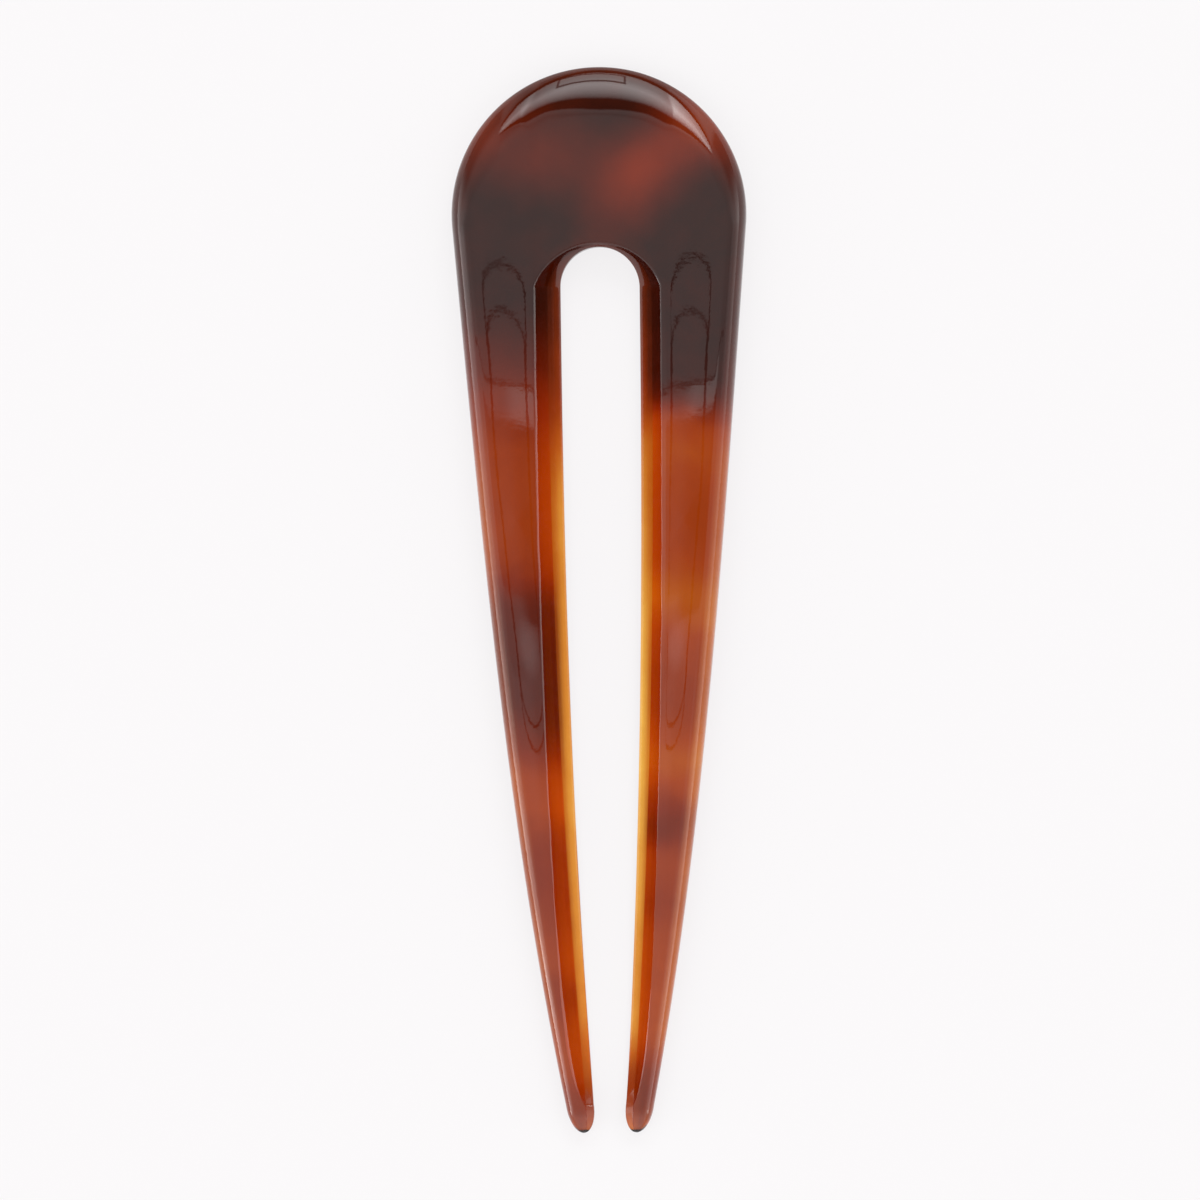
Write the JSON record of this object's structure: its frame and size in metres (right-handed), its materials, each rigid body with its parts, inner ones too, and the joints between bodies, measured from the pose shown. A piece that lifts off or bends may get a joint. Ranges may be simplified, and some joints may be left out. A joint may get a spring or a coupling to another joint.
{
  "type": "french hair pin",
  "caption": "Two-pronged U-shaped hair pin with a broad rounded head, a long slot and tapering bevelled prongs, in translucent tortoiseshell plastic.",
  "frame": {"origin": "middle of the pin's length and width, on the flat back face that it lies on", "axes": "+Y along the pin toward the round crown, the tips toward -Y; +X across the pin, to the right when the bevelled front face is seen with the crown up; +Z out of the front face"},
  "size_m": [0.036, 0.13, 0.005],
  "materials": {
    "tortoiseshell_acetate": "polished translucent acetate, dark brown with amber and orange patches"
  },
  "bodies": {
    "root": {"hair_pin": "tortoiseshell_acetate"}
  },
  "joints": []
}
